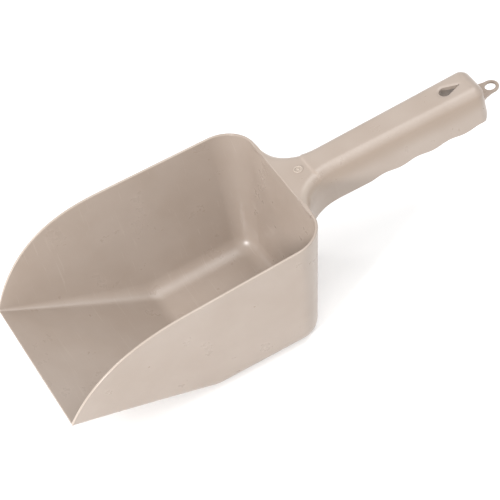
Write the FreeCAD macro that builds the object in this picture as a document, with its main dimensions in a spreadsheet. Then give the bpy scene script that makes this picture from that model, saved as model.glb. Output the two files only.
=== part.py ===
"""Ice scoop: a one-piece moulded scoop, divided into the named regions of the moulding.

Frame: X across the scoop, +Y from the pouring lip to the hanging eyelet, +Z up.
The origin is the bottom centre of the whole object, on the surface it stands on.
Sketches and features are drawn with Y measured from the lip; each finished piece is then
shifted back by half of the overall length.
"""
import FreeCAD, Part
import math
import os
import Sketcher

Vector = FreeCAD.Vector

# Driving dimensions in millimetres: alias, value, what it is.
SIZES = [
    ("bowl_length", 165.1, "lip to the outside of the rear wall, along the rim"),
    ("bowl_depth", 80.1, "underside of the floor to the rim"),
    ("lip_height", 38.6, "underside of the floor to the underside of the lip"),
    ("floor_start", 84.8, "lip to the line where the ramp meets the flat floor"),
    ("rim_width_front", 118.5, "side walls carried up to rim height, at the lip"),
    ("rim_width_rear", 109.0, "outside width of the rim at the rear wall"),
    ("floor_width_front", 86.7, "side walls carried down to floor level, at the lip"),
    ("floor_width_rear", 89.4, "outside width at floor level, at the rear wall"),
    ("rear_lean", 13.7, "how far the rear wall comes forward from rim to floor"),
    ("wall", 1.5, "wall thickness of the bowl"),
    ("rim_corner_radius", 20.8, "upright rear corner at the rim, outside"),
    ("floor_corner_radius", 13.5, "upright rear corner at the floor, outside"),
    ("floor_edge_radius", 11.7, "rounding between floor and walls, outside"),
    ("lip_edge_radius", 3.0, "the same rounding where it runs out at the lip, outside"),
    ("rim_steep", 23.2, "first guide point of the rising rim, from the lip"),
    ("rim_blend", 61.1, "second guide point of the rising rim, from the lip"),
    ("rim_crest", 79.3, "where the rising rim reaches its full height, from the lip"),
    ("grip_length", 122.9, "rear wall to the end of the grip"),
    ("grip_width_neck", 20.6, "width of the grip, carried forward to the rear wall"),
    ("grip_width_end", 24.9, "width of the grip at its end"),
    ("grip_depth", 24.8, "height of the sides of the grip"),
    ("grip_draft", 0.4, "how much wider each side of the grip is at its lower edge"),
    ("grip_rise", 0.75, "top of the grip above the rim"),
    ("grip_wall", 2.2, "wall thickness of the grip"),
    ("grip_edge_radius", 6.0, "rounding along the top edges of the grip, outside"),
    ("grip_corner_extra", 0.3, "upright end corners of the grip, beyond grip_edge_radius"),
    ("heel_radius", 7.0, "lower corner at the end of the grip, seen from the side"),
    ("flare_radius", 24.0, "hollow curve from the sides of the grip to the rear wall"),
    ("neck_length", 15.1, "rear wall to the small step where the raised grip starts"),
    ("groove_radius", 32.0, "finger groove in the lower edge of the grip"),
    ("groove_height", 1.3, "height of a finger groove"),
    ("groove_pitch", 20.8, "spacing of the finger grooves"),
    ("groove_first", 53.7, "rear wall to the middle of the first finger groove"),
    ("drop_radius", 3.5, "round end of the drop-shaped hole"),
    ("drop_inset", 19.5, "centre of its round end, from the end of the grip"),
    ("drop_point", 9.6, "centre of its round end to its point"),
    ("eyelet_hole_radius", 3.0, "hole of the hanging eyelet"),
    ("eyelet_radius", 5.1, "outside of the hanging eyelet"),
    ("eyelet_reach", 8.2, "end of the grip to the centre of the eyelet"),
    ("eyelet_thickness", 1.8, "thickness of the eyelet"),
    ("eyelet_drop", 13.4, "top of the grip down to the middle of the eyelet"),
    ("eyelet_root", 18.0, "width of the eyelet where it joins the grip"),
    ("eyelet_flare", 14.0, "hollow curves from the ring of the eyelet to its root"),
    ("mark_inset", 9.4, "rear wall to the centre of the moulded mark"),
    ("mark_radius", 2.8, "outside of the moulded ring"),
    ("mark_height", 0.3, "how far the ring stands up"),
]
GROOVES = 4
MARGIN = 10.0  # how far a cutting shape runs past what it cuts
NEAR = 0.5  # slack when edges are picked by their place
CENTRE = 3  # number of the centre point of a circle or arc in a sketch
ROUGH = 50.0  # size of the rough outlines that are drawn before they are pinned

doc = FreeCAD.newDocument("ice_scoop")
sheet = doc.addObject("Spreadsheet::Sheet", "Sizes")
for row, (alias, value, note) in enumerate(SIZES, start=1):
    sheet.set(f"A{row}", note)
    sheet.set(f"B{row}", str(value))
    sheet.setAlias(f"B{row}", alias)
doc.recompute()

# Rules that several features share, written for the expression engine.
RAMP_RISE = "Sizes.wall * sqrt(1 + (Sizes.lip_height / Sizes.floor_start)^2)"
RAMP_SLOPE = "(Sizes.lip_height / Sizes.floor_start)"
GRIP_TOP = "(Sizes.bowl_depth + Sizes.grip_rise)"
GRIP_END = "(Sizes.bowl_length + Sizes.grip_length)"
EYELET_Y = f"({GRIP_END} + Sizes.eyelet_reach)"
HALF_LENGTH = f"({EYELET_Y} + Sizes.eyelet_radius) / 2"
LEAN = "(Sizes.rear_lean / Sizes.bowl_depth)"
CORNER_RADIUS = "(Sizes.grip_edge_radius + Sizes.grip_corner_extra)"
UNDERSIDE = f"({GRIP_TOP} - Sizes.grip_depth)"


def size(alias):
    """A driving dimension as a number."""
    return float(sheet.get(alias))


def bind(thing, **rules):
    """Tie properties of an object to the sheet; a double underscore stands for a dot."""
    for name, rule in rules.items():
        thing.setExpression(name.replace("__", "."), rule)


# ---------------------------------------------------------------- sketches

def flat_sketch(name, height):
    """A sketch parallel to the ground at a height."""
    sketch = doc.addObject("Sketcher::SketchObject", name)
    bind(sketch, Placement__Base__z=height)
    return sketch


def side_sketch(name):
    """A sketch in the middle plane: its x is the scoop's Y, its y is the scoop's Z."""
    sketch = doc.addObject("Sketcher::SketchObject", name)
    sketch.Placement = FreeCAD.Placement(Vector(), FreeCAD.Rotation(Vector(1, 1, 1), 120))
    return sketch


def join(sketch, first, second):
    """Make the end of one curve the start of another."""
    sketch.addConstraint(Sketcher.Constraint("Coincident", first, 2, second, 1))


def rough_corners(count):
    """Corners of a regular polygon, the starting shape of every pinned outline."""
    turns = [2 * math.pi * k / count for k in range(count)]
    return [Vector(ROUGH * math.cos(turn), ROUGH * math.sin(turn)) for turn in turns]


def pin(sketch, geometry, end, x_rule, y_rule):
    """Hold one point of a sketch at two distances from the sketch's origin."""
    point = sketch.getPoint(geometry, end)
    for kind, axis, rule, now in (("DistanceX", -2, x_rule, point.x),
                                  ("DistanceY", -1, y_rule, point.y)):
        if rule == "0":
            sketch.addConstraint(Sketcher.Constraint("PointOnObject", geometry, end, axis))
        else:
            made = sketch.addConstraint(Sketcher.Constraint(kind, -1, 1, geometry, end, now))
            sketch.setExpression(f"Constraints[{made}]", rule)


def polygon(sketch, corners):
    """A closed polygon through corners given as pairs of rules."""
    rough = rough_corners(len(corners))
    lines = [sketch.addGeometry(Part.LineSegment(rough[k - 1], rough[k]))
             for k in range(len(corners))]
    for k, (x_rule, y_rule) in enumerate(corners):
        join(sketch, lines[k - 1], lines[k])
        pin(sketch, lines[k], 1, x_rule, y_rule)
    return sketch


def across(name, sketch):
    """Extrude a middle-plane sketch to both sides, past the widest part of the bowl."""
    body = doc.addObject("Part::Extrusion", name)
    body.Base = sketch
    body.DirMode = "Custom"
    body.Dir = Vector(1, 0, 0)
    body.Solid = True
    body.Symmetric = True
    bind(body, LengthFwd="Sizes.rim_width_front + Sizes.rim_width_rear")
    return body


def upright(name, sketch, rule):
    """Extrude a flat sketch upwards."""
    body = doc.addObject("Part::Extrusion", name)
    body.Base = sketch
    body.DirMode = "Custom"
    body.Dir = Vector(0, 0, 1)
    body.Solid = True
    bind(body, LengthFwd=rule)
    return body


def box(name, low, high):
    """A box between two corners given as rules."""
    body = doc.addObject("Part::Box", name)
    bind(body, Placement__Base__x=low[0], Placement__Base__y=low[1], Placement__Base__z=low[2],
         Length=f"({high[0]}) - ({low[0]})", Width=f"({high[1]}) - ({low[1]})",
         Height=f"({high[2]}) - ({low[2]})")
    return body


def combine(kind, name, first, second):
    """A boolean of two objects: Cut or Common."""
    result = doc.addObject(f"Part::{kind}", name)
    result.Base = first
    result.Tool = second
    return result


# ---------------------------------------------------------------- bowl

def tapered_block(name, inset):
    """The bowl as a plain tapering block, every side moved in by inset."""
    def corners(front, rear, rear_y):
        at_start = f"({front} / 2 - {inset} + ({front} - {rear}) / 2 / Sizes.bowl_length * {MARGIN})"
        at_rear = f"({rear} / 2 - {inset})"
        return [(at_start, f"-{MARGIN}"), (at_rear, rear_y),
                (f"-{at_rear}", rear_y), (f"-{at_start}", f"-{MARGIN}")]

    low = polygon(flat_sketch(f"{name}_at_floor", "0 mm"),
                  corners("Sizes.floor_width_front", "Sizes.floor_width_rear",
                          f"Sizes.bowl_length - Sizes.rear_lean - {inset}"))
    high = polygon(flat_sketch(f"{name}_at_rim", "Sizes.bowl_depth"),
                   corners("Sizes.rim_width_front", "Sizes.rim_width_rear",
                           f"Sizes.bowl_length - {inset}"))
    block = doc.addObject("Part::Loft", name)
    block.Sections = [low, high]
    block.Solid = True
    block.Ruled = True
    return block


def outer_profile():
    """Side view of the bowl's outside: ramp, floor and the rim that rises from the lip."""
    sketch = side_sketch("outer_profile")
    rear = f"Sizes.bowl_length + {MARGIN}"
    top = f"Sizes.bowl_depth + {MARGIN}"
    corners = [("0", f"Sizes.lip_height + {RAMP_RISE}"), ("0", "Sizes.lip_height"),
               (f"Sizes.floor_start + {MARGIN} / {RAMP_SLOPE}", f"-{MARGIN}"),
               (rear, f"-{MARGIN}"), (rear, top), ("Sizes.rim_crest", top),
               ("Sizes.rim_crest", "Sizes.bowl_depth")]
    rough = rough_corners(len(corners))
    lines = [sketch.addGeometry(Part.LineSegment(rough[k - 1], rough[k]))
             for k in range(1, len(corners))]
    for k, line in enumerate(lines):
        pin(sketch, line, 1, *corners[k])
        if k:
            join(sketch, lines[k - 1], line)
    pin(sketch, lines[-1], 2, *corners[-1])
    poles = [rough[-1], rough[-1] * 2, rough[0] * 2, rough[0]]
    rim = sketch.addGeometry(Part.BSplineCurve(poles, None, None, False, 3, None, False))
    sketch.exposeInternalGeometry(rim)
    join(sketch, lines[-1], rim)
    join(sketch, rim, lines[0])
    blend_pole, steep_pole = rim + 2, rim + 3
    pin(sketch, blend_pole, CENTRE, "Sizes.rim_blend", "Sizes.bowl_depth")
    pin(sketch, steep_pole, CENTRE, "Sizes.rim_steep", "Sizes.bowl_depth")
    return across("outer_side_view", sketch)


def inner_profile():
    """Side view of the hollow: the ramp and floor raised by the wall thickness."""
    sketch = side_sketch("inner_profile")
    front = -MARGIN * 2
    rear = f"Sizes.bowl_length + {MARGIN}"
    top = f"Sizes.bowl_depth + {MARGIN}"
    polygon(sketch, [
        (f"{front}", f"Sizes.lip_height + {RAMP_RISE} - {RAMP_SLOPE} * {front}"),
        (f"Sizes.floor_start + ({RAMP_RISE} - Sizes.wall) / {RAMP_SLOPE}", "Sizes.wall"),
        (rear, "Sizes.wall"), (rear, top), (f"{front}", top)])
    return across("inner_side_view", sketch)


def round_edges(name, base, chooser):
    """Round the edges that chooser gives a start and end radius for."""
    doc.recompute()
    rounded = doc.addObject("Part::Fillet", name)
    rounded.Base = base
    radii = []
    for number, edge in enumerate(base.Shape.Edges, start=1):
        ends = [edge.valueAt(edge.FirstParameter), edge.valueAt(edge.LastParameter)]
        chosen = chooser(*ends)
        if chosen:
            radii.append((number, *chosen))
    rounded.Edges = radii
    doc.recompute()
    return rounded


def rounded_bowl(name, block, profile, inset):
    """The tapering block cut to its side view, with its corners and bottom edges rounded."""
    plain = combine("Common", f"{name}_plain", block, profile)
    rear_floor = size("bowl_length") - size("rear_lean") - inset
    tall = size("bowl_depth") / 2

    def corner_radii(first, last):
        """The two upright rear corners, sharper at the floor than at the rim."""
        if abs(first.z - last.z) < tall or min(first.y, last.y) < rear_floor - NEAR:
            return None
        rim, floor = size("rim_corner_radius") - inset, size("floor_corner_radius") - inset
        return (rim, floor) if first.z > last.z else (floor, rim)

    corners = round_edges(f"{name}_corners", plain, corner_radii)
    front = min(vertex.Y for vertex in plain.Shape.Vertexes)

    def bottom_radii(first, last):
        """The floor's edges all round, running out to a small radius at the lip."""
        full, small = size("floor_edge_radius") - inset, size("lip_edge_radius") - inset
        if max(first.z, last.z) < inset + NEAR:
            return full, full
        if min(first.y, last.y) < front + NEAR and min(first.z, last.z) < inset + NEAR:
            return (small, full) if first.y < last.y else (full, small)
        return None

    return round_edges(f"{name}_rounded", corners, bottom_radii)


# ---------------------------------------------------------------- handle

def handle_plan(name, height, widening, inset, level, spread):
    """Plan of the handle at one height: a bar inside the bowl, hollow curves and sides.

    height, widening and inset are rules; level and spread are their present values, which
    only place the curves roughly before they are pinned.
    """
    sketch = flat_sketch(name, height)
    bar_rule = f"(Sizes.bowl_length - {LEAN} * (Sizes.bowl_depth - {height}) - {inset})"
    lean = size("rear_lean") / size("bowl_depth")
    bar = size("bowl_length") - (size("bowl_depth") - level) * lean
    neck, end = size("grip_width_neck") / 2 + spread, size("grip_width_end") / 2 + spread
    radius = size("flare_radius") - spread
    foot, end_y = bar - MARGIN, size("bowl_length") + size("grip_length")
    centre = Vector(neck + radius, bar + radius)
    end_line = sketch.addGeometry(Part.LineSegment(Vector(end, end_y), Vector(-end, end_y)))
    foot_line = sketch.addGeometry(Part.LineSegment(Vector(-centre.x, foot),
                                                    Vector(centre.x, foot)))
    turn = math.pi / 2
    axis = Vector(0, 0, 1)
    right = Part.ArcOfCircle(Part.Circle(centre, axis, radius), 2 * turn, 3 * turn)
    left = Part.ArcOfCircle(Part.Circle(Vector(-centre.x, centre.y), axis, radius),
                            3 * turn, 4 * turn)
    right_heel = sketch.addGeometry(Part.LineSegment(Vector(centre.x, foot),
                                                     Vector(centre.x, bar)))
    left_heel = sketch.addGeometry(Part.LineSegment(Vector(-centre.x, bar),
                                                    Vector(-centre.x, foot)))
    right_hollow, left_hollow = sketch.addGeometry(right), sketch.addGeometry(left)
    right_side = sketch.addGeometry(Part.LineSegment(Vector(neck, centre.y), Vector(end, end_y)))
    left_side = sketch.addGeometry(Part.LineSegment(Vector(-end, end_y), Vector(-neck, centre.y)))
    neck_point = sketch.addGeometry(Part.Point(Vector(neck, bar)), True)
    for first, second in ((foot_line, right_heel), (right_side, end_line), (end_line, left_side),
                          (left_heel, foot_line)):
        join(sketch, first, second)
    limit = Sketcher.Constraint
    for constraint in (limit("Coincident", right_heel, 2, right_hollow, 2),
                       limit("Tangent", right_hollow, 1, right_side, 1),
                       limit("Tangent", left_side, 2, left_hollow, 2),
                       limit("Coincident", left_hollow, 1, left_heel, 1),
                       limit("Vertical", right_heel),
                       limit("Vertical", right_hollow, 3, right_heel, 2),
                       limit("Symmetric", left_hollow, 3, right_hollow, 3, -2),
                       limit("Symmetric", left_heel, 1, right_heel, 2, -2),
                       limit("Symmetric", left_heel, 2, right_heel, 1, -2),
                       limit("Symmetric", left_side, 1, right_side, 2, -2),
                       limit("PointOnObject", neck_point, 1, right_side)):
        sketch.addConstraint(constraint)
    half_neck = f"Sizes.grip_width_neck / 2 + {widening} - {inset}"
    half_end = f"Sizes.grip_width_end / 2 + {widening} - {inset}"
    pin(sketch, neck_point, 1, half_neck, bar_rule)
    pin(sketch, right_side, 2, half_end, f"{GRIP_END} - {inset}")
    for kind, geometry, end_number, rule in (
            ("DistanceY", right_heel, 2, bar_rule),
            ("DistanceY", right_heel, 1, f"{bar_rule} - {MARGIN}")):
        now = sketch.getPoint(geometry, end_number).y
        made = sketch.addConstraint(limit(kind, -1, 1, geometry, end_number, now))
        sketch.setExpression(f"Constraints[{made}]", rule)
    made = sketch.addConstraint(limit("Radius", right_hollow, radius))
    sketch.setExpression(f"Constraints[{made}]", f"Sizes.flare_radius - {widening} + {inset}")
    return sketch


def handle_block(name, inset, top, edge_radius, corner_radius):
    """Grip and flared neck as one drafted block with its upper edges rounded."""
    level = size("bowl_depth") + size("grip_rise")
    plans = [handle_plan(f"{name}_above", top, "0", inset, level, 0.0),
             handle_plan(f"{name}_below", UNDERSIDE, "Sizes.grip_draft", inset,
                         level - size("grip_depth"), size("grip_draft"))]
    block = doc.addObject("Part::Loft", f"{name}_block")
    block.Sections = plans
    block.Solid = True
    block.Ruled = True
    doc.recompute()
    top_level = block.Shape.BoundBox.ZMax
    end_y = block.Shape.BoundBox.YMax
    tall = size("grip_depth") / 2

    def end_corner_radii(first, last):
        """The two upright corners at the end of the grip."""
        if abs(first.z - last.z) > tall and min(first.y, last.y) > end_y - NEAR:
            return corner_radius, corner_radius
        return None

    def top_radii(first, last):
        """The upper edges, all but the bar inside the bowl."""
        on_top = min(first.z, last.z) > top_level - NEAR
        behind = max(first.y, last.y) > size("bowl_length") + size("neck_length")
        return (edge_radius, edge_radius) if on_top and behind else None

    cornered = round_edges(f"{name}_cornered", block, end_corner_radii)
    return round_edges(f"{name}_blank", cornered, top_radii)


def drop_cutter():
    """The drop-shaped hole: a round end towards the bowl and a point towards the eyelet."""
    sketch = flat_sketch("drop_outline", f"{GRIP_TOP} - Sizes.grip_wall - {MARGIN}")
    middle_rule = f"{GRIP_END} - Sizes.drop_inset"
    radius = size("drop_radius")
    middle = Vector(0, size("bowl_length") + size("grip_length") - size("drop_inset"))
    point = middle + Vector(0, size("drop_point"))
    lean = math.asin(radius / size("drop_point"))
    right = middle + Vector(radius * math.cos(lean), radius * math.sin(lean))
    left = Vector(-right.x, right.y)
    round_end = sketch.addGeometry(Part.ArcOfCircle(
        Part.Circle(middle, Vector(0, 0, 1), radius), math.pi - lean, 2 * math.pi + lean))
    right_side = sketch.addGeometry(Part.LineSegment(right, point))
    left_side = sketch.addGeometry(Part.LineSegment(point, left))
    join(sketch, right_side, left_side)
    sketch.addConstraint(Sketcher.Constraint("Tangent", round_end, 2, right_side, 1))
    sketch.addConstraint(Sketcher.Constraint("Tangent", left_side, 2, round_end, 1))
    pin(sketch, left_side, 1, "0", f"{middle_rule} + Sizes.drop_point")
    pin(sketch, round_end, CENTRE, "0", middle_rule)
    made = sketch.addConstraint(Sketcher.Constraint("Radius", round_end, radius))
    sketch.setExpression(f"Constraints[{made}]", "Sizes.drop_radius")
    return upright("drop_cutter", sketch, f"Sizes.grip_wall + {MARGIN} * 2")


def groove_cutter():
    """Round bars across the grip whose tops shape the finger grooves."""
    bars = []
    for number in range(GROOVES):
        bar = doc.addObject("Part::Cylinder", f"groove_bar_{number + 1}")
        bar.Placement.Rotation = FreeCAD.Rotation(Vector(0, 1, 0), 90)
        bind(bar, Radius="Sizes.groove_radius", Height="Sizes.grip_width_end * 2",
             Placement__Base__x="-Sizes.grip_width_end",
             Placement__Base__y=("Sizes.bowl_length + Sizes.groove_first"
                                 f" + Sizes.groove_pitch * {number}"),
             Placement__Base__z=f"{UNDERSIDE} + Sizes.groove_height - Sizes.groove_radius")
        bars.append(bar)
    cutter = doc.addObject("Part::MultiFuse", "groove_cutter")
    cutter.Shapes = bars
    return cutter


def heel_cutter():
    """What lies outside the rounded lower corner at the end of the grip."""
    round_bar = doc.addObject("Part::Cylinder", "heel_bar")
    round_bar.Placement.Rotation = FreeCAD.Rotation(Vector(0, 1, 0), 90)
    bind(round_bar, Radius="Sizes.heel_radius", Height="Sizes.grip_width_end * 2",
         Placement__Base__x="-Sizes.grip_width_end",
         Placement__Base__y=f"{GRIP_END} - Sizes.heel_radius",
         Placement__Base__z=f"{UNDERSIDE} + Sizes.heel_radius")
    corner = box("heel_corner",
                 ("-Sizes.grip_width_end", f"{GRIP_END} - Sizes.heel_radius",
                  f"{UNDERSIDE} - {MARGIN}"),
                 ("Sizes.grip_width_end", f"{GRIP_END} + {MARGIN}",
                  f"{UNDERSIDE} + Sizes.heel_radius"))
    return combine("Cut", "heel_cutter", corner, round_bar)


def body_sketch(body, name, height):
    """A sketch on the ground plane of a body, lifted to a height."""
    sketch = body.newObject("Sketcher::SketchObject", name)
    ground = [plane for plane in body.Origin.OriginFeatures if plane.Role == "XY_Plane"]
    sketch.AttachmentSupport = [(ground[0], "")]
    sketch.MapMode = "FlatFace"
    bind(sketch, AttachmentOffset__Base__z=height)
    return sketch


def add_circle(sketch, y_rule, rule, alias, y_now):
    """A circle with its centre in the middle plane, bound to a radius."""
    circle = sketch.addGeometry(Part.Circle(Vector(0, y_now), Vector(0, 0, 1), size(alias)))
    pin(sketch, circle, CENTRE, "0", y_rule)
    made = sketch.addConstraint(Sketcher.Constraint("Radius", circle, size(alias)))
    sketch.setExpression(f"Constraints[{made}]", rule)
    return circle


def eyelet_body():
    """A flat tab that runs in hollow curves from the end of the grip to a ring."""
    body = doc.addObject("PartDesign::Body", "eyelet_body")
    sketch = body_sketch(body, "eyelet_plan",
                         f"{GRIP_TOP} - Sizes.eyelet_drop - Sizes.eyelet_thickness / 2")
    ring = Vector(0, size("bowl_length") + size("grip_length") + size("eyelet_reach"))
    radius, flare = size("eyelet_radius"), size("eyelet_flare")
    root = Vector(size("eyelet_root") / 2,
                  size("bowl_length") + size("grip_length") - size("grip_wall"))
    to_root = root - ring
    reach = radius + flare
    share = (reach ** 2 - flare ** 2 + to_root.Length ** 2) / (2 * to_root.Length)
    along = to_root.normalize()
    aside = Vector(-along.y, along.x) * math.sqrt(reach ** 2 - share ** 2)
    middle = ring + along * share + aside
    touch = math.atan2(middle.y - ring.y, middle.x - ring.x)
    foot = math.atan2(root.y - middle.y, root.x - middle.x)
    axis = Vector(0, 0, 1)
    ring_end = sketch.addGeometry(Part.ArcOfCircle(
        Part.Circle(ring, axis, radius), touch, math.pi - touch))
    right_hollow = sketch.addGeometry(Part.ArcOfCircle(
        Part.Circle(middle, axis, flare), touch + math.pi, foot + 2 * math.pi))
    left_hollow = sketch.addGeometry(Part.ArcOfCircle(
        Part.Circle(Vector(-middle.x, middle.y), axis, flare), -math.pi - foot, -touch))
    base = sketch.addGeometry(Part.LineSegment(Vector(-root.x, root.y), root))
    limit = Sketcher.Constraint
    for constraint in (limit("Tangent", ring_end, 1, right_hollow, 1),
                       limit("Tangent", ring_end, 2, left_hollow, 2),
                       limit("Coincident", right_hollow, 2, base, 2),
                       limit("Coincident", left_hollow, 1, base, 1)):
        sketch.addConstraint(constraint)
    pin(sketch, base, 1, "-Sizes.eyelet_root / 2", f"{GRIP_END} - Sizes.grip_wall")
    pin(sketch, base, 2, "Sizes.eyelet_root / 2", f"{GRIP_END} - Sizes.grip_wall")
    pin(sketch, ring_end, CENTRE, "0", EYELET_Y)
    for arc, alias in ((ring_end, "eyelet_radius"), (right_hollow, "eyelet_flare"),
                       (left_hollow, "eyelet_flare")):
        made = sketch.addConstraint(limit("Radius", arc, size(alias)))
        sketch.setExpression(f"Constraints[{made}]", f"Sizes.{alias}")
    add_circle(sketch, EYELET_Y, "Sizes.eyelet_hole_radius", "eyelet_hole_radius", ring.y)
    pad = body.newObject("PartDesign::Pad", "eyelet_pad")
    pad.Profile = sketch
    bind(pad, Length="Sizes.eyelet_thickness")
    return body


def mark_body():
    """A plain raised ring moulded on the neck."""
    body = doc.addObject("PartDesign::Body", "mark_body")
    sketch = body_sketch(body, "mark_plan", "Sizes.bowl_depth")
    y_rule = "Sizes.bowl_length + Sizes.mark_inset"
    y_now = size("bowl_length") + size("mark_inset")
    add_circle(sketch, y_rule, "Sizes.mark_radius", "mark_radius", y_now)
    add_circle(sketch, y_rule, "Sizes.mark_radius / 2", "mark_radius", y_now)
    pad = body.newObject("PartDesign::Pad", "mark_pad")
    pad.Profile = sketch
    bind(pad, Length="Sizes.mark_height")
    return body


# ---------------------------------------------------------------- the whole moulding

outer = rounded_bowl("outer_bowl", tapered_block("outer_block", "0"), outer_profile(), 0)
inner = rounded_bowl("inner_bowl", tapered_block("inner_block", "Sizes.wall"), inner_profile(),
                     size("wall"))
bowl = combine("Cut", "bowl", outer, inner)

grip_outside = handle_block("grip", "0", GRIP_TOP, size("grip_edge_radius"),
                            size("grip_edge_radius") + size("grip_corner_extra"))
channel = handle_block("channel", "Sizes.grip_wall", f"({GRIP_TOP} - Sizes.grip_wall)",
                       size("grip_edge_radius") - size("grip_wall"),
                       size("grip_edge_radius") + size("grip_corner_extra") - size("grip_wall"))
WIDE = "Sizes.rim_width_front"
NECK_END = "(Sizes.bowl_length + Sizes.neck_length)"
neck_relief = box("neck_relief", (f"-{WIDE}", "0", "Sizes.bowl_depth"),
                  (WIDE, NECK_END, f"Sizes.bowl_depth + {MARGIN}"))
handle = combine("Cut", "handle_hollow", grip_outside, channel)
for step, cutter in enumerate((outer, neck_relief, drop_cutter(), groove_cutter(), heel_cutter()),
                             start=1):
    handle = combine("Cut", f"handle_cut_{step}", handle, cutter)

# ---------------------------------------------------------------- named regions

# Left and right are those of the person who holds the grip: left is +X.
CORNER_X = "(Sizes.floor_width_rear / 2 - Sizes.floor_corner_radius)"
CORNER_Y = "(Sizes.bowl_length - Sizes.rear_lean - Sizes.floor_corner_radius)"
BEYOND = f"({GRIP_END} + {MARGIN})"
ABOVE = f"({GRIP_TOP} + {MARGIN})"
BELOW = f"-{MARGIN}"
KINK_X = "((Sizes.floor_width_front + Sizes.floor_width_rear) / 4 - Sizes.floor_edge_radius)"
LIP_X = ("(Sizes.floor_width_front / 2 + (Sizes.rim_width_front - Sizes.floor_width_front) / 2"
         " * Sizes.lip_height / Sizes.bowl_depth - Sizes.lip_edge_radius)")


def flat_zone(name, front_x, front_y, rear_x, rear_y):
    """A tapering zone over a flat stretch of the bottom."""
    plan = polygon(flat_sketch(f"{name}_plan", BELOW),
                   [(f"-{front_x}", front_y), (front_x, front_y),
                    (rear_x, rear_y), (f"-{rear_x}", rear_y)])
    return upright(name, plan, f"{ABOVE} + {MARGIN}")


def wall_zone():
    """Everything above the rounding between the bottom and the walls."""
    sketch = side_sketch("wall_zone_view")
    polygon(sketch, [(f"-{MARGIN}", "Sizes.lip_height + Sizes.lip_edge_radius"),
                     ("0", "Sizes.lip_height + Sizes.lip_edge_radius"),
                     ("Sizes.floor_start", "Sizes.floor_edge_radius"),
                     (BEYOND, "Sizes.floor_edge_radius"), (BEYOND, ABOVE), (f"-{MARGIN}", ABOVE)])
    return across("wall_zone", sketch)


def side_boxes(name, low_y, high_y, inner_x, low_z, high_z):
    """A pair of boxes, left and right of the middle."""
    return {"left": box(f"{name}_left", (inner_x, low_y, low_z), (WIDE, high_y, high_z)),
            "right": box(f"{name}_right", (f"-{WIDE}", low_y, low_z),
                         (f"-{inner_x}", high_y, high_z))}


nodes = []


def node(label, whole, zone):
    """A finished piece: the part of the moulding inside one zone, with its own name."""
    piece = combine("Common", f"node_{label}", whole, zone) if zone else whole
    piece.Label = label
    bind(piece, Placement__Base__y=f"-{HALF_LENGTH}")
    nodes.append(piece)


walls = wall_zone()
ramp_zone = flat_zone("ramp_zone", LIP_X, "0", KINK_X, "Sizes.floor_start")
floor_zone = flat_zone("floor_zone", KINK_X, "Sizes.floor_start", CORNER_X, CORNER_Y)
upper = combine("Common", "bowl_upper", bowl, walls)
tray = combine("Cut", "bowl_tray", bowl, walls)
curves = combine("Cut", "curves_and_floor", tray, ramp_zone)
curves = combine("Cut", "curves", curves, floor_zone)

node("pouring_ramp", tray, ramp_zone)
node("rear_floor", tray, floor_zone)
for side, zone in side_boxes("ramp_side", f"-{MARGIN}", "Sizes.floor_start", "0",
                             BELOW, ABOVE).items():
    node(f"ramp_curve_{side}", curves, zone)
for side, zone in side_boxes("floor_side", "Sizes.floor_start", CORNER_Y, "0",
                             BELOW, ABOVE).items():
    node(f"floor_curve_{side}", curves, zone)
for side, zone in side_boxes("wall_side", f"-{MARGIN}", CORNER_Y, "0", BELOW, ABOVE).items():
    node(f"side_wall_{side}", upper, zone)
for side, zone in side_boxes("corner", CORNER_Y, BEYOND, CORNER_X, BELOW, ABOVE).items():
    node(f"rear_corner_{side}", bowl, zone)
rear_box = box("rear_zone", (f"-{CORNER_X}", CORNER_Y, BELOW), (CORNER_X, BEYOND, ABOVE))
node("rear_wall", upper, rear_box)
node("rear_floor_curve", curves, rear_box)

GRIP_CAP = f"({GRIP_END} - {CORNER_RADIUS})"
GRIP_SHOULDER = f"({GRIP_TOP} - Sizes.grip_edge_radius)"
node("neck", handle, box("neck_zone", (f"-{WIDE}", "0", BELOW), (WIDE, NECK_END, ABOVE)))
node("grip_top", handle, box("grip_top_zone", (f"-{WIDE}", NECK_END, GRIP_SHOULDER),
                             (WIDE, GRIP_CAP, ABOVE)))
for side, zone in side_boxes("grip_side_zone", NECK_END, GRIP_CAP, "0",
                             BELOW, GRIP_SHOULDER).items():
    node(f"grip_side_{side}", handle, zone)
node("grip_end", handle, box("grip_end_zone", (f"-{WIDE}", GRIP_CAP, BELOW),
                             (WIDE, BEYOND, ABOVE)))
node("hanging_eyelet", combine("Cut", "eyelet_outside", eyelet_body(), grip_outside), None)
node("moulded_mark", mark_body(), None)

# ---------------------------------------------------------------- check and write

doc.recompute()
for thing in doc.Objects:
    if any(word in ("Invalid", "Error") for word in thing.State):
        raise RuntimeError(f"{thing.Label} did not build: {thing.State}")
os.makedirs("parts", exist_ok=True)
for piece in nodes:
    shape = piece.Shape
    if shape.isNull() or not shape.isValid() or len(shape.Solids) != 1:
        raise RuntimeError(f"{piece.Label} is not one valid solid")
    shape.exportStep(f"parts/{piece.Label}.step")
    print(f"{piece.Label}: {shape.Volume:.0f} mm3")
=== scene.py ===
"""Ice scoop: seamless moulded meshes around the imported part, with a soft white studio.

Lengths are millimetres with Y measured from the pouring lip, like the part's own drawings;
place() turns them into metres in the row's frame.
"""
import math

import bmesh
import bpy
from mathutils import Matrix, Vector


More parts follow.
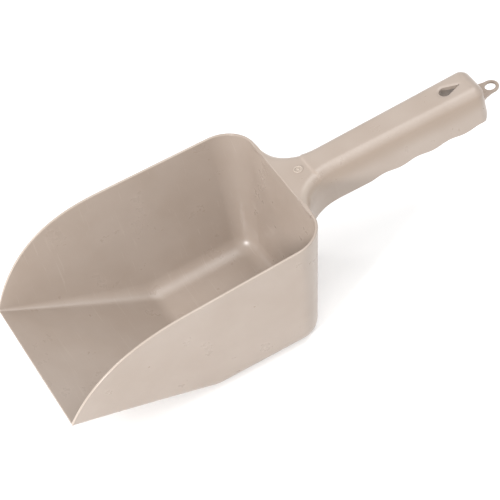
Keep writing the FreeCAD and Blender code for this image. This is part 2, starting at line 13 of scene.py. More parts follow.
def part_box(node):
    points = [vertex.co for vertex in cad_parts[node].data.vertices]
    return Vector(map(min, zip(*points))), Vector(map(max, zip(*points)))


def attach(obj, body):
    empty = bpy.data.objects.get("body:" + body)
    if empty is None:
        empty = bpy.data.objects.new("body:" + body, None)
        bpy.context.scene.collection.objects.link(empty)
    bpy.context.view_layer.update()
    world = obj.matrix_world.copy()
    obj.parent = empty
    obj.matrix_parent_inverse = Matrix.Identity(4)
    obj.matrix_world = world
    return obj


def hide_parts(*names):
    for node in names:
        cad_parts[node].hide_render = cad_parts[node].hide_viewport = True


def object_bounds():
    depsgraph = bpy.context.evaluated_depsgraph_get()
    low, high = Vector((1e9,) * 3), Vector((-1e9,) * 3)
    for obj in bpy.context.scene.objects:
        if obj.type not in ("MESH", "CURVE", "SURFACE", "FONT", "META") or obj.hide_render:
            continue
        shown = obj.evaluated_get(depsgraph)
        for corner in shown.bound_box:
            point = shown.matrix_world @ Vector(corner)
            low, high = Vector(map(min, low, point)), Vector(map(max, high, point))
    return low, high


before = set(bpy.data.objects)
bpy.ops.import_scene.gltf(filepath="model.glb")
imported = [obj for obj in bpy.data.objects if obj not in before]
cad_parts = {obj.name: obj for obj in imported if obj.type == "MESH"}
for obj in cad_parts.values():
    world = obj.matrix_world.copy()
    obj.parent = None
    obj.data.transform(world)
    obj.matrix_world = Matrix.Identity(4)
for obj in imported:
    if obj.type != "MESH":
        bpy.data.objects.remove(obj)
CAD_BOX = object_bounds()
MM = 0.001
LIP_Y = CAD_BOX[0].y / MM


def node_box(name):
    """A CAD node's corners in millimetres, with Y from the lip."""
    low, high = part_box(name)
    shift = Vector((0, LIP_Y, 0))
    return low / MM - shift, high / MM - shift


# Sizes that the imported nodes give.
BOWL_LENGTH = node_box("rear_wall")[1].y
BOWL_DEPTH = node_box("rear_wall")[1].z
FLOOR_START = node_box("pouring_ramp")[1].y
GRIP_END = node_box("grip_end")[1].y
GRIP_TOP = node_box("grip_top")[1].z
GRIP_UNDER = node_box("grip_side_left")[0].z
STEP_Y = node_box("grip_top")[0].y
EYELET_LOW, EYELET_HIGH = node_box("hanging_eyelet")
MARK_LOW, MARK_HIGH = node_box("moulded_mark")

# Sizes of the bowl's surfaces, as in the part.
LIP_HEIGHT = 38.6
WALL = 1.5
RIM_HALF_FRONT, RIM_HALF_REAR = 59.25, 54.5
FLOOR_HALF_FRONT, FLOOR_HALF_REAR = 43.35, 44.7
REAR_LEAN = 13.7
RIM_CORNER, FLOOR_CORNER = 20.8, 13.5
FLOOR_EDGE, LIP_EDGE = 11.7, 3.0
RIM_STEEP, RIM_BLEND, RIM_CREST = 23.2, 61.1, 79.3

# How the bowl's bends and edges are finished.
KINK_RADIUS = 14.0  # eases the bend between ramp and floor
RIM_ROUND = 0.6
RIM_POINTS = 4  # points of that rounding in each run
RIM_SHARP = 0.02  # what is left of it under the neck
NECK_FADE = 4.0  # how gradually it is lost towards the neck
LIP_EASE = 0.6  # how far from the lip its edges start to thin
LIP_PULL = 0.35  # share of the wall that each of them gives up there

# Sizes of the handle.
NECK_HALF, END_HALF = 10.3, 12.45
SIDE_DRAFT, DRAFT_DEPTH = 0.4, 20  # the sides widen by one over a height of the other
GRIP_WALL = 2.2
GRIP_EDGE, GRIP_CORNER, HEEL = 6.0, 6.3, 7.0
FLARE_RADIUS, FLARE_SHIFT = 24.0, 0.55
FLARE_SINK = 0.25  # how deep the ends of the flare lie in the rear wall
NECK_EDGE, NECK_WALL = 1.8, 1.1  # rounding and wall where the neck leaves the bowl
STEP_LEAD, STEP_LENGTH = 1.1, 1.9  # the ramped step between neck and grip
GROOVE_FIRST, GROOVE_PITCH, GROOVE_HEIGHT = 53.7, 20.8, 1.3
DROP_RADIUS, DROP_INSET, DROP_POINT = 3.5, 19.5, 9.6
EYELET_REACH, EYELET_RADIUS, EYELET_HOLE, EYELET_FLARE = 8.2, 5.1, 3.0, 14.0
EYELET_ROOT_HALF = 9.0
EYELET_ROUND = 0.8
DISH_DEPTH, DISH_REACH = 0.4, 1.9  # the dip around the drop-shaped hole
MARK_RADIUS, MARK_BEAD, MARK_DOT = 2.3, 0.5, 0.9
SKIN_LIFT = 0.02  # keeps the top of the neck clear of the rim
LOWER_LIP, END_LIP = 0.55, 0.1  # rounding of the grip's lower edge

# How finely the meshes are divided, and where they are shaded sharply.
FLARE_ROWS = 80
TOP_POINTS = 22
EDGE_POINTS = 11
CREASE = math.radians(50)
MERGE = 2e-6

# Colours.
DARK_TONE, LIGHT_TONE = (0.322, 0.262, 0.219, 1), (0.348, 0.289, 0.247, 1)
# The first tone on the next line is a painted highlight for the rim, the flare's top edge and the
# mark.
# The second tone on the next line is painted shade for the grip's side under its shoulder.
HIGHLIGHT_TONE, PAINTED_SHADE_TONE = (0.72, 0.64, 0.54, 1), (0.27, 0.205, 0.155, 1)
SCRATCH_TONE = (0.62, 0.55, 0.48, 1)
FLOOR_TONE = (0.86, 0.86, 0.86, 1)
WHITE = (1, 1, 1, 1)


def place(point):
    """A drawing point in millimetres as a place in the row's frame, in metres."""
    return Vector((point[0], point[1] + LIP_Y, point[2])) * MM


def mix(a, b, t):
    """The value or point a share t of the way from a to b."""
    return a + (b - a) * t


def smooth(t):
    """A soft step from 0 to 1."""
    t = min(max(t, 0.0), 1.0)
    return t * t * (3 - 2 * t)


def spread(start, end, count):
    """Evenly spaced values, both ends included."""
    return [mix(start, end, k / (count - 1)) for k in range(count)]


def heading(angle):
    """A level unit vector at an angle from +X towards +Y."""
    return Vector((math.cos(angle), math.sin(angle), 0))


def rise(height):
    """A vector straight up."""
    return Vector((0, 0, height))


# ------------------------------------------------------------------ grid meshes

class Shell:
    """Collects points and faces of a piece, then makes its object."""

    def __init__(self):
        self.mesh = bmesh.new()
        self.worn = self.mesh.verts.layers.float.new("painted_highlight")
        self.used = self.mesh.verts.layers.float.new("used_face")

    def row(self, points, used=0.0):
        """New vertices; used lets scratches show on them."""
        made = [self.mesh.verts.new(place(p)) for p in points]
        for vertex in made:
            vertex[self.used] = used
        return made

    def paint_highlight(self, vertices, amount):
        """Lighten some vertices with a painted highlight."""
        for vertex in vertices:
            vertex[self.worn] = amount

    def face(self, *corners):
        """A face, unless too few of its corners differ."""
        unique = list(dict.fromkeys(corners))
        if len(unique) > 2:
            self.mesh.faces.new(unique)

    def skin(self, first, second):
        """Quads between two rows of equal length."""
        for k in range(len(first) - 1):
            self.face(first[k], first[k + 1], second[k + 1], second[k])

    def finish(self, name):
        """Join what touches, face outwards, shade smoothly and make the object."""
        bmesh.ops.remove_doubles(self.mesh, verts=self.mesh.verts, dist=MERGE)
        bmesh.ops.dissolve_degenerate(self.mesh, edges=self.mesh.edges, dist=MERGE)
        bmesh.ops.recalc_face_normals(self.mesh, faces=self.mesh.faces)
        for edge in self.mesh.edges:
            if len(edge.link_faces) == 2 and edge.calc_face_angle() > CREASE:
                edge.smooth = False
        data = bpy.data.meshes.new(name)
        self.mesh.to_mesh(data)
        self.mesh.free()
        data.shade_smooth()
        piece = bpy.data.objects.new(name, data)
        bpy.context.scene.collection.objects.link(piece)
        even = piece.modifiers.new("even_shading", "WEIGHTED_NORMAL")
        even.mode = "FACE_AREA"
        even.weight = 50
        even.keep_sharp = True
        return piece


def mirrored(points):
    """The same points on the other side of the middle plane."""
    return [Vector((-p.x, p.y, p.z)) for p in points]


def arc_points(corner, along_a, along_b, radius, count):
    """Points of an arc that rounds the corner between two directions, from a to b."""
    angle = along_a.angle(along_b)
    reach = radius / math.tan(angle / 2)
    bisector = (along_a + along_b).normalized()
    centre = corner + bisector * (radius / math.sin(angle / 2))
    start = corner + along_a * reach - centre
    end = corner + along_b * reach - centre
    turn = start.angle(end)
    return [centre + (start * math.sin((1 - t) * turn) + end * math.sin(t * turn)) / math.sin(turn)
            for t in spread(0, 1, count)]


# ------------------------------------------------------------------ bowl

def ramp_height(y, raised):
    """Height of the ramp and floor, raised by a thickness, with the bend between them eased."""
    slope = LIP_HEIGHT / FLOOR_START
    steep = math.sqrt(1 + slope * slope)
    bend = FLOOR_START + raised * (steep - 1) / slope
    ramp = (bend - y) * slope
    ease = KINK_RADIUS * math.tan(math.atan(slope) / 2)
    if abs(y - bend) < ease:
        ramp = (bend + ease - y) ** 2 / (4 * ease) * slope
    return raised + max(ramp, 0.0) if y < bend + ease else raised


def rim_height(y):
    """Height of the rim: a curve that climbs from the lip and levels out."""
    start = LIP_HEIGHT + WALL * math.sqrt(1 + (LIP_HEIGHT / FLOOR_START) ** 2)
    if y >= RIM_CREST:
        return BOWL_DEPTH
    low, high = 0.0, 1.0
    halvings = 40
    for _ in range(halvings):
        t = (low + high) / 2
        along = 3 * (1 - t) ** 2 * t * RIM_STEEP + 3 * (1 - t) * t * t * RIM_BLEND + t ** 3 * RIM_CREST
        low, high = (t, high) if along < y else (low, t)
    return BOWL_DEPTH - (BOWL_DEPTH - start) * (1 - t) ** 3


def half_width(y, level):
    """Outside half width of the side walls; level is 0 at the floor and 1 at the rim."""
    low = mix(FLOOR_HALF_FRONT, FLOOR_HALF_REAR, y / (BOWL_LENGTH - REAR_LEAN))
    high = mix(RIM_HALF_FRONT, RIM_HALF_REAR, y / BOWL_LENGTH)
    return mix(low, high, level)


def corner_plan(level):
    """The rear corner at floor (0) or rim (1): centre, radius and the angle where it starts."""
    radius = mix(FLOOR_CORNER, RIM_CORNER, level)
    rear = BOWL_LENGTH - REAR_LEAN * (1 - level)
    run = 10
    widen = half_width(rear, level) - half_width(rear - run, level)
    start = -math.atan(widen / run)
    y = rear - radius
    touch = y + radius * math.sin(start)
    centre = Vector((half_width(touch, level) - radius * math.cos(start), y, 0))
    return centre, radius, start


def stations():
    """Places round the bowl, lip to rear: floor and rim plan points, outward way, middle point."""
    found = []
    corners = [corner_plan(level) for level in (0, 1)]
    side_end = [c.y + r * math.sin(a) for c, r, a in corners]
    lip = [0, 0.12, 0.3, 0.6, 1.1, 1.8, 2.8, 4.2, 6]
    ramp = spread(8, FLOOR_START - 8, 30)
    bend_half, past_bend = 6.5, 1.5
    bend = spread(FLOOR_START - bend_half, FLOOR_START + bend_half, 14)
    along = [(y, y) for y in lip + ramp + bend]
    along += [[mix(bend[-1] + past_bend, end, t) for end in side_end]
              for t in spread(0, 1, 18)[:-1]]
    for low_y, high_y in along:
        found.append((Vector((half_width(low_y, 0), low_y, 0)),
                      Vector((half_width(high_y, 1), high_y, 0)),
                      Vector((1, 0, 0)), Vector((0, low_y, 0))))
    pole = Vector((0, side_end[0], 0))
    for t in spread(0, 1, 25):
        points, ways = [], []
        for centre, radius, start in corners:
            ways.append(heading(mix(start, math.pi / 2, t)))
            points.append(centre + ways[-1] * radius)
        found.append((points[0], points[1], (ways[0] + ways[1]).normalized(), pole))
    for t in spread(0, 1, 12)[1:]:
        points = [Vector((c.x * (1 - t), c.y + r, 0)) for c, r, a in corners]
        found.append((points[0], points[1], Vector((0, 1, 0)), pole))
    return found


def bowl_side(station, inset):
    """One run of points from the middle of the floor up to the rim."""
    low, high, outward, middle = station
    slant = 1.015  # a leaning wall is this much thicker when measured level
    low, high = low - outward * inset * slant, high - outward * inset * slant
    y = low.y if outward.y == 0 else FLOOR_START * 2
    floor = ramp_height(y, inset)
    foot = mix(low, high, floor / BOWL_DEPTH)
    foot.z = floor
    up = (high - low + rise(BOWL_DEPTH)).normalized()
    top = rim_height(y)
    inward = -outward
    if outward.y <= 0:
        inward = Vector((middle.x - foot.x, middle.y - foot.y, 0)).normalized()
    radius = mix(LIP_EDGE, FLOOR_EDGE, min(y / FLOOR_START, 1)) - inset
    most, least = (top - floor) * 0.8, 0.05
    radius = max(min(radius, most), least)
    curve = arc_points(foot, inward, up, radius, 13)
    centre = Vector((middle.x, middle.y, floor))
    flat = [mix(centre, curve[0], t) for t in spread(0, 1, 14)[:-1]]
    edge = min(RIM_ROUND, (top - curve[-1].z) * 0.5)
    if inset == 0 and outward.y > 0:
        under_neck = smooth((NECK_HALF + FLARE_RADIUS - high.x) / NECK_FADE)
        edge = mix(edge, RIM_SHARP, under_neck)
    wall_end = foot + up * ((top - edge - floor) / up.z)
    wall = [mix(curve[-1], wall_end, t) for t in spread(0, 1, 16)[1:]]
    side = -1 if inset == 0 else 1
    rim = [wall_end + outward * side * edge * (1 - math.cos(a)) + rise(edge * math.sin(a))
           for a in spread(0, math.pi / 2, RIM_POINTS + 1)[1:]]
    return flat + curve + wall + rim


def rim_highlight(p):
    """How strongly the painted highlight lightens the rim: fully along the sides, not at all at the
    neck.
    """
    fade_length = RIM_CORNER * 0.7
    return 1 - smooth((p.y - BOWL_LENGTH + RIM_CORNER) / fade_length)


def make_bowl():
    """The bowl: outside and inside skins, joined round the rim and along the lip."""
    shell = Shell()
    places = stations()
    outside = [bowl_side(station, 0.0) for station in places]
    inside = [bowl_side(station, WALL) for station in places]
    for station, outer, inner in zip(places, outside, inside):
        y = station[0].y
        if y < LIP_EASE:
            pull = (1 - math.sqrt(1 - (1 - y / LIP_EASE) ** 2)) * LIP_PULL
            for k, (a, b) in enumerate(list(zip(outer, inner))):
                outer[k], inner[k] = mix(a, b, pull), mix(b, a, pull)
    for turn in (list, mirrored):
        outer_rows = [shell.row(turn(points)) for points in outside]
        inner_rows = [shell.row(turn(points), used=1.0) for points in inside]
        for runs, rows in ((outside, outer_rows), (inside, inner_rows)):
            for points, row in zip(runs, rows):
                # Painted highlight along the rim.
                shell.paint_highlight(row[-RIM_POINTS:], rim_highlight(points[-1]))
            for first, second in zip(rows, rows[1:]):
                shell.skin(first, second)
        shell.skin([row[-1] for row in outer_rows], [row[-1] for row in inner_rows])
        shell.skin(outer_rows[0], inner_rows[0])
    return shell.finish("bowl_shell")


# ------------------------------------------------------------------ handle

def top_height(y):
    """Height of the handle's top: level with the rim on the neck, then a small ramped step."""
    return mix(BOWL_DEPTH + SKIN_LIFT, GRIP_TOP, smooth((y - STEP_Y + STEP_LEAD) / STEP_LENGTH))


def under_height(y):
    """Height of the handle's lower edge, with its finger waves."""
    first = BOWL_LENGTH + GROOVE_FIRST
    waves = 0.5 + 0.5 * math.cos(2 * math.pi * (y - first) / GROOVE_PITCH)
    begin, grow = first - GROOVE_PITCH * 0.75, GROOVE_PITCH * 0.5
    fade = smooth((y - begin) / grow)
    low = GRIP_UNDER + GROOVE_HEIGHT * waves * fade
    past = y - (GRIP_END - HEEL)
    if past > 0:
        low = max(low, GRIP_UNDER + HEEL - math.sqrt(max(HEEL ** 2 - min(past, HEEL) ** 2, 0)))
    return low


def drop_half_width(y):
    """Half width of the drop-shaped hole at y, or None away from it."""
    middle = GRIP_END - DROP_INSET
    lean = math.asin(DROP_RADIUS / DROP_POINT)
    along = y - middle
    slack = 1e-6
    if along < -DROP_RADIUS - slack or along > DROP_POINT + slack:
        return None
    if along < DROP_RADIUS * math.sin(lean):
        return math.sqrt(max(DROP_RADIUS ** 2 - along ** 2, 0.0))
    return max((DROP_POINT - along) * math.tan(lean), 0.0)


def side_line(y):
    """Half width of the grip's sides at y."""
    return mix(NECK_HALF, END_HALF, (y - BOWL_LENGTH) / (GRIP_END - BOWL_LENGTH))


def outline():
    """Half of the handle's plan, rear wall to the middle of the end.

    Each entry holds the plan point, the outward way, the rounding of the top edge and the
    wall thickness.
    """
    lean = math.atan2(END_HALF - NECK_HALF, GRIP_END - BOWL_LENGTH)
    centre = Vector((NECK_HALF + FLARE_RADIUS + FLARE_SHIFT, BOWL_LENGTH + FLARE_RADIUS, 0))
    found = []
    for t in spread(0, 1, FLARE_ROWS):
        angle = t * (math.pi / 2 + lean)
        way = Vector((math.sin(angle), math.cos(angle), 0))
        rounding = mix(NECK_EDGE, GRIP_EDGE, smooth(t * 2))
        thickness = mix(NECK_WALL, GRIP_WALL, smooth(t * 3))
        sunk = Vector((0, FLARE_SINK * (1 - smooth(t * 5)), 0))
        found.append((centre - way * FLARE_RADIUS - sunk, way, rounding, thickness))
    start = found[-1][0].y
    side = Vector((math.cos(lean), -math.sin(lean), 0))
    corner_y = GRIP_END - GRIP_CORNER
    drop = GRIP_END - DROP_INSET
    hole = [drop - DROP_RADIUS * math.cos(a) for a in spread(0, math.pi / 2, 9)]
    tip = spread(hole[-1], drop + DROP_POINT, 14)[1:]
    rows = spread(start, hole[0], 96)[1:] + hole[1:] + tip + spread(tip[-1], corner_y, 5)[1:]
    for y in rows:
        found.append((Vector((side_line(y), y, 0)), side, GRIP_EDGE, GRIP_WALL))
    middle = Vector((side_line(corner_y) - GRIP_CORNER, corner_y, 0))
    for t in spread(0, 1, 14)[1:]:
        way = heading(mix(-lean, math.pi / 2, t))
        found.append((middle + way * GRIP_CORNER, way, GRIP_EDGE, GRIP_WALL))
    for t in spread(0, 1, 8)[1:]:
        found.append((Vector((middle.x * (1 - t), GRIP_END, 0)), Vector((0, 1, 0)),
                      GRIP_EDGE, GRIP_WALL))
    return found


def handle_side(entry, middle, inset, begin):
    """One run of points from the middle of the top, over the edge and down to the lower edge."""
    point, way, rounding, thickness = entry
    shift = thickness if inset else 0.0
    least = 0.15
    radius = max(rounding - shift, least)
    slack = 0.01
    at_end = point.y > GRIP_END - GRIP_CORNER - slack
    lean_back = Vector()
    if point.y <= STEP_Y + GRIP_CORNER:
        lean_back = Vector((0, -REAR_LEAN / BOWL_DEPTH, 0)) * max(way.y, 0.0)
    edge = point - way * shift
    rest = edge - way * radius
    start = Vector((begin, middle, 0))
    run = []
    under = GRIP_WALL if inset else 0
    crown = top_height(rest.y) - under
    for t in spread(0, 1, TOP_POINTS):
        p = mix(start, rest, t)
        run.append(Vector((p.x, p.y, top_height(p.y) - dish(p) - under)))
    for angle in spread(0, math.pi / 2, EDGE_POINTS + 1)[1:]:
        out = rest + way * radius * math.sin(angle)
        run.append(Vector((out.x, out.y, crown - radius * (1 - math.cos(angle)))))
    top = run[-1].copy()
    low = under_height((point - way * thickness).y if at_end else point.y)
    drop = top.z - low
    draft = way * SIDE_DRAFT * drop / DRAFT_DEPTH + lean_back * drop
    bottom = Vector((edge.x, edge.y, low)) + draft
    lip = mix(LOWER_LIP, END_LIP, way.y if at_end else 0)
    for t in spread(0, 1, 19)[1:]:
        run.append(mix(top, bottom + rise(lip), t))
    sign = 1 if inset else -1
    for angle in spread(0, math.pi / 2, 4)[1:]:
        run.append(bottom + rise(lip * (1 - math.sin(angle)))
                   + way * sign * lip * (1 - math.cos(angle)))
    return [inside_heel(p) for p in run]


def inside_heel(p):
    """Hold a point inside the rounded lower corner at the end of the grip."""
    below = GRIP_UNDER + HEEL - p.z
    if below <= 0:
        return p
    limit = GRIP_END - HEEL + math.sqrt(max(HEEL ** 2 - below ** 2, 0))
    return Vector((p.x, min(p.y, max(limit, GRIP_END - HEEL)), p.z))


def dish(p):
    """How far the top dips around the drop-shaped hole."""
    middle = GRIP_END - DROP_INSET
    discs = ((0, DROP_RADIUS), (3, 2.4), (6, 1.3), (8.5, 0.4))
    nearest = min((Vector((p.x, p.y)) - Vector((0, middle + ahead))).length - radius
                  for ahead, radius in discs)
    return DISH_DEPTH * (1 - smooth(nearest / DISH_REACH))


def flare_highlight(shell, rows):
    """Paint a highlight along the top edge of the flare, less and less towards the grip."""
    band = 7
    for index, row in enumerate(rows):
        fade = 1 - smooth((index / FLARE_ROWS - 0.45) * 2)
        for k, vertex in enumerate(row[TOP_POINTS:TOP_POINTS + band]):
            shell.paint_highlight([vertex], fade * math.sin(math.pi * (k + 1) / (band + 1)))


def make_handle():
    """The neck and grip: outside and inside skins, joined along the lower edge and the hole."""
    shell = Shell()
    pole = GRIP_END - 7.5  # where the runs of the end meet in the middle of the top
    runs = []
    for entry in outline():
        y = entry[0].y
        middle = min(y, pole)
        half = drop_half_width(y) if y < pole else None
        runs.append((handle_side(entry, middle, False, half or 0.0),
                     handle_side(entry, middle, True, half or 0.0), half))
    for turn in (list, mirrored):
        rows = [(shell.row(turn(outer)), shell.row(turn(inner)), half)
                for outer, inner, half in runs]
        flare_highlight(shell, [outer for outer, _, _ in rows[:FLARE_ROWS]])
        for (outer_a, inner_a, half_a), (outer_b, inner_b, half_b) in zip(rows, rows[1:]):
            shell.skin(outer_a, outer_b)
            shell.skin(inner_a, inner_b)
            shell.face(outer_a[-1], outer_b[-1], inner_b[-1], inner_a[-1])
            if half_a is not None and half_b is not None:
                shell.face(outer_a[0], outer_b[0], inner_b[0], inner_a[0])
        shell.skin(rows[0][0], rows[0][1])
    return shell.finish("grip_shell")


def eyelet_outline():
    """Half of the eyelet's plan: pairs of a point on its inner and on its outer edge."""
    ring = Vector((0, GRIP_END + EYELET_REACH, 0))
    root = Vector((EYELET_ROOT_HALF, GRIP_END - GRIP_WALL, 0))
    to_root = root - ring
    reach = EYELET_RADIUS + EYELET_FLARE
    share = (reach ** 2 - EYELET_FLARE ** 2 + to_root.length ** 2) / (2 * to_root.length)
    along = to_root.normalized()
    aside = Vector((-along.y, along.x, 0)) * math.sqrt(reach ** 2 - share ** 2)
    middle = ring + along * share + aside
    touch = math.atan2(middle.y - ring.y, middle.x - ring.x)
    foot = math.atan2(root.y - middle.y, root.x - middle.x) + 2 * math.pi
    inside_grip = 0.9
    outer = [Vector((root.x * t, root.y + inside_grip, 0)) for t in spread(0, 1, 7)[:-1]]
    outer += [middle + heading(a) * EYELET_FLARE for a in spread(foot, touch + math.pi, 16)[1:-1]]
    upper = spread(touch, math.pi / 2, 20)
    outer += [ring + heading(a) * EYELET_RADIUS for a in upper]
    lower = [-math.pi / 2 + (touch + math.pi / 2) * smooth(k / 20) for k in range(20)]
    inner = [ring + heading(a) * EYELET_HOLE for a in lower + upper]
    return list(zip(inner, outer))


def make_eyelet():
    """The hanging eyelet: a thin tab with rounded edges that ends in a ring."""
    shell = Shell()
    height = (EYELET_LOW.z + EYELET_HIGH.z) / 2
    half = (EYELET_HIGH.z - EYELET_LOW.z) / 2
    loops = []
    for near, far in eyelet_outline():
        way = (far - near).normalized()
        edge = min(EYELET_ROUND, half, (far - near).length * 0.45)
        quarter = spread(0, math.pi / 2, 6)
        loop = [near + way * edge * (1 - math.cos(a)) + rise(half * math.sin(a)) for a in quarter]
        loop += [far - way * edge * (1 - math.cos(a)) + rise(half * math.sin(a))
                 for a in reversed(quarter)]
        loop += [Vector((p.x, p.y, -p.z)) for p in loop[-2:0:-1]]
        loops.append([p + rise(height) for p in loop])
    for turn in (list, mirrored):
        rows = [shell.row(turn(loop)) for loop in loops]
        for first, second in zip(rows, rows[1:]):
            shell.skin(first + first[:1], second + second[:1])
    return shell.finish("eyelet_ring")


def make_mark():
    """The moulded mark: a plain ring with a dot in its middle."""
    shell = Shell()
    centre = (MARK_LOW + MARK_HIGH) / 2
    lift, dot_height, ring_height = 0.03, 0.4, 0.45
    base = BOWL_DEPTH + lift
    profile = [(MARK_DOT * math.cos(a), dot_height * math.sin(a)) for a in spread(math.pi / 2, 0, 6)]
    profile += [(MARK_RADIUS - MARK_BEAD * math.cos(a), ring_height * math.sin(a))
                for a in spread(0, math.pi, 10)]
    rows = []
    for turn in spread(0, 2 * math.pi, 41):
        rows.append(shell.row([Vector((centre.x, centre.y, base + z)) + heading(turn) * r
                               for r, z in profile]))
        # Painted highlight over the whole mark.
        shell.paint_highlight(rows[-1], 1.0)
    for first, second in zip(rows, rows[1:]):
        shell.skin(first, second)
    return shell.finish("moulded_ring")


# ------------------------------------------------------------------ camera, light, floor

def make_camera():
    """A long lens above the left side of the scoop, turned so that the lip points down."""
    azimuth, elevation, roll = (math.radians(a) for a in (74.039, 45.674, -16.322))
    past_lip, above_lip = 68.0, 17.0
    aim = place((0, past_lip, LIP_HEIGHT + above_lip))
    distance, shift_right, shift_up = 1.27873, 0.06131, 0.02135
    back = Vector((math.sin(azimuth) * math.cos(elevation),
                   -math.cos(azimuth) * math.cos(elevation), math.sin(elevation)))
    level = Vector((math.cos(azimuth), math.sin(azimuth), 0))
    upward = back.cross(level)
    right = level * math.cos(roll) + upward * math.sin(roll)
    up = upward * math.cos(roll) - level * math.sin(roll)
    data = bpy.data.cameras.new("camera")
    data.sensor_width = 36
    data.lens = 169.18
    data.clip_start, data.clip_end = 0.05, 20
    camera = bpy.data.objects.new("camera", data)
    turn = Matrix((right, up, back)).transposed().to_4x4()
    camera.matrix_world = Matrix.Translation(aim + back * distance + right * shift_right
                                             + up * shift_up) @ turn
    bpy.context.scene.collection.objects.link(camera)
    bpy.context.scene.camera = camera


def new_material(name):
    """A material with the standard shader, and its node tree."""
    material = bpy.data.materials.new(name)
    material.use_nodes = True
    return material, material.node_tree


def link(tree, source, output, target, socket):
    """Wire a named output to a named input."""
    tree.links.new(source.outputs[output], target.inputs[socket])


def add(tree, kind, **sockets):
    """A new shader node with some of its inputs set."""
    node = tree.nodes.new(kind)
    for name, value in sockets.items():
        node.inputs[name.replace("_", " ")].default_value = value
    return node


def remap(tree, source, output, low, high, start, end):
    """Spread a value between two limits, softly at both ends."""
    node = tree.nodes.new("ShaderNodeMapRange")
    node.interpolation_type = "SMOOTHSTEP"
    for name, value in (("From Min", low), ("From Max", high), ("To Min", start), ("To Max", end)):
        node.inputs[name].default_value = value
    link(tree, source, output, node, "Value")
    return node


def calculate(tree, operation, first, second):
    """One operation on two nodes' values, or on a node's value and a number."""
    node = tree.nodes.new("ShaderNodeMath")
    node.operation = operation
    tree.links.new(first.outputs[0], node.inputs[0])
    if isinstance(second, float):
        node.inputs[1].default_value = second
    else:
        tree.links.new(second.outputs[0], node.inputs[1])
    return node


def attribute(tree, name):
    """A value that the mesh carries."""
    node = tree.nodes.new("ShaderNodeAttribute")
    node.attribute_name = name
    return node


def tint(tree, factor, colour, tone):
    """Move a colour towards a plain tone by a factor node."""
    node = tree.nodes.new("ShaderNodeMix")
    node.data_type = "RGBA"
    tree.links.new(factor.outputs[0], node.inputs[0])
    tree.links.new(colour, node.inputs[6])
    node.inputs[7].default_value = tone
    return node.outputs[2]


def hairlines(tree, coords, turn, seed, density):
    """Fine scratches in one direction: noise drawn out into long thin streaks."""
    softness = 0.05
    mapping = tree.nodes.new("ShaderNodeMapping")
    mapping.inputs["Rotation"].default_value = (0, 0, math.radians(turn))
    mapping.inputs["Scale"].default_value = (28, 1150, 60)
    mapping.inputs["Location"].default_value = (seed, seed * 1.7, seed * 0.3)
    link(tree, coords, "Object", mapping, "Vector")
    noise = add(tree, "ShaderNodeTexNoise", Scale=1.0, Detail=1.0, Roughness=0.3, Distortion=0.6)
    link(tree, mapping, "Vector", noise, "Vector")
    return remap(tree, noise, "Fac", density, density + softness, 0.0, 1.0)


def painted_shade_strength(tree, coords, levels):
    """Strength of the painted shade under the grip's shoulder, by height in metres."""
    height = tree.nodes.new("ShaderNodeSeparateXYZ")
    link(tree, coords, "Object", height, "Vector")
    begin, full, last, end = levels
    strength = 0.7
    below = remap(tree, height, "Z", begin, full, 0.0, 1.0)
    above = remap(tree, height, "Z", last, end, 1.0, 0.0)
    return calculate(tree, "MULTIPLY", calculate(tree, "MULTIPLY", below, above), strength)


def scratches(tree, coords):
    """Strength of the scratches: hairlines in three directions, where the part is used."""
    strength = 0.09
    total = hairlines(tree, coords, 8, 3.1, 0.73)
    for turn, seed, density in ((-31, 11.7, 0.725), (74, 23.9, 0.735)):
        total = calculate(tree, "MAXIMUM", total, hairlines(tree, coords, turn, seed, density))
    share = remap(tree, attribute(tree, "used_face"), "Fac", 0.0, 1.0, 0.0, strength)
    return calculate(tree, "MULTIPLY", total, share)


def plastic(name, scratched=False, painted_shade=None):
    """Satin taupe plastic: faint clouds, painted highlights on edges, scratches and painted shade
    under the shoulder.
    """
    material, tree = new_material(name)
    shader = tree.nodes["Principled BSDF"]
    coords = tree.nodes.new("ShaderNodeTexCoord")
    clouds = add(tree, "ShaderNodeTexNoise", Scale=26.0, Detail=3.0, Roughness=0.55)
    link(tree, coords, "Object", clouds, "Vector")
    ramp = tree.nodes.new("ShaderNodeValToRGB")
    stops = ((0.34, DARK_TONE), (0.66, LIGHT_TONE))
    for element, (position, tone) in zip(ramp.color_ramp.elements, stops):
        element.position = position
        element.color = tone
    link(tree, clouds, "Fac", ramp, "Fac")
    # Painted highlight: lightens the rim, the flare's top edge and the mark.
    full_highlight, highlight_strength = 3.0, 0.54
    worn = remap(tree, attribute(tree, "painted_highlight"), "Fac", 0.0, full_highlight, 0.0, highlight_strength)
    colour = tint(tree, worn, ramp.outputs["Color"], HIGHLIGHT_TONE)
    # Painted shade: darkens the grip's side just under the shoulder, fading downwards.
    if painted_shade:
        colour = tint(tree, painted_shade_strength(tree, coords, painted_shade), colour, PAINTED_SHADE_TONE)
    if scratched:
        faint = scratches(tree, coords)
        colour = tint(tree, faint, colour, SCRATCH_TONE)
        bump = add(tree, "ShaderNodeBump", Strength=0.2, Distance=0.00003)
        bump.invert = True
        link(tree, faint, "Value", bump, "Height")
        link(tree, bump, "Normal", shader, "Normal")
    tree.links.new(colour, shader.inputs["Base Color"])
    patches = add(tree, "ShaderNodeTexNoise", Scale=70.0, Detail=4.0, Roughness=0.6)
    link(tree, coords, "Object", patches, "Vector")
    smoothest, roughest = 0.27, 0.35
    gloss = remap(tree, patches, "Fac", 0.3, 0.7, smoothest, roughest)
    link(tree, gloss, "Result", shader, "Roughness")
    return material


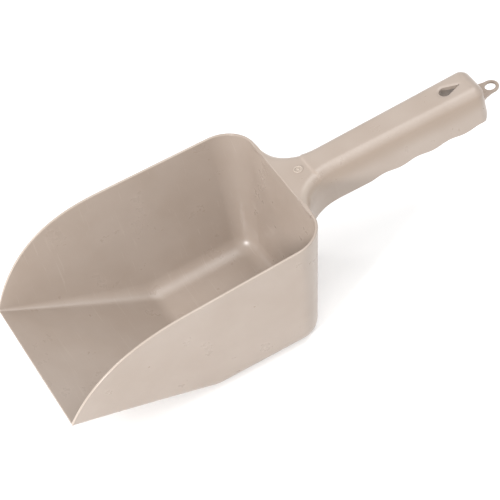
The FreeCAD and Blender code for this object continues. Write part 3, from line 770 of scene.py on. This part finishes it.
def make_floor():
    """A plain pale ground, a hair below the scoop."""
    data = bpy.data.meshes.new("floor")
    half, gap, glow = 3.0, 0.0003, 0.1
    data.from_pydata([(-half, -half, 0), (half, -half, 0), (half, half, 0), (-half, half, 0)], [],
                     [(0, 1, 2, 3)])
    floor = bpy.data.objects.new("floor", data)
    bpy.context.scene.collection.objects.link(floor)
    floor.location.z = -gap
    material, tree = new_material("pale_floor")
    shader = tree.nodes["Principled BSDF"]
    shader.inputs["Base Color"].default_value = FLOOR_TONE
    shader.inputs["Roughness"].default_value = 0.9
    shader.inputs["Emission Color"].default_value = WHITE
    shader.inputs["Emission Strength"].default_value = glow
    data.materials.append(material)


def soft_box(name, azimuth, elevation, distance, width, height, power):
    """A rectangular lamp that faces the scoop; angles in degrees, azimuth from +X towards +Y."""
    data = bpy.data.lights.new(name, "AREA")
    data.shape = "RECTANGLE"
    data.size, data.size_y = width, height
    data.energy = power
    upwards = math.radians(elevation)
    way = heading(math.radians(azimuth)) * math.cos(upwards) + rise(math.sin(upwards))
    lamp = bpy.data.objects.new(name, data)
    middle_height = 0.04
    lamp.location = way * distance + rise(middle_height)
    lamp.rotation_euler = way.to_track_quat("Z", "Y").to_euler()
    bpy.context.scene.collection.objects.link(lamp)


def make_lights():
    """A white studio: even light all round, two boxes high up, and two small ones lower down."""
    even_light = 0.86
    world = bpy.data.worlds.new("studio")
    bpy.context.scene.world = world
    world.use_nodes = True
    backdrop = world.node_tree.nodes["Background"]
    backdrop.inputs["Color"].default_value = WHITE
    backdrop.inputs["Strength"].default_value = even_light
    soft_box("key_box", 20, 60, 1.3, 0.3, 0.8, 2.7)
    soft_box("top_box", 90, 66, 1.3, 0.9, 0.9, 8.0)
    soft_box("front_box", -62, 23, 1.4, 0.22, 0.22, 17.0)
    soft_box("side_box", -142, 31, 1.5, 0.2, 0.2, 3.0)


bpy.context.scene.view_settings.view_transform = "Standard"
make_camera()
make_floor()
make_lights()
BOWL_NODES = ("pouring_ramp", "rear_floor", "ramp_curve_left", "ramp_curve_right",
              "floor_curve_left", "floor_curve_right", "side_wall_left", "side_wall_right",
              "rear_corner_left", "rear_corner_right", "rear_wall", "rear_floor_curve")
GRIP_NODES = ("neck", "grip_top", "grip_side_left", "grip_side_right", "grip_end")
PAINTED_SHADE_LEVELS = [(GRIP_TOP - depth) * MM for depth in (17, 6.5, 5, 2)]  # heights of the painted shade band under the grip's shoulder
BOWL_PLASTIC = plastic("bowl_plastic", scratched=True)
GRIP_PLASTIC = plastic("grip_plastic", painted_shade=PAINTED_SHADE_LEVELS)
for piece, material, nodes in (
        (make_bowl(), BOWL_PLASTIC, BOWL_NODES),
        (make_handle(), GRIP_PLASTIC, GRIP_NODES),
        (make_eyelet(), GRIP_PLASTIC, ("hanging_eyelet",)),
        (make_mark(), GRIP_PLASTIC, ("moulded_mark",))):
    piece.data.materials.append(material)
    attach(piece, "root")
    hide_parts(*nodes)
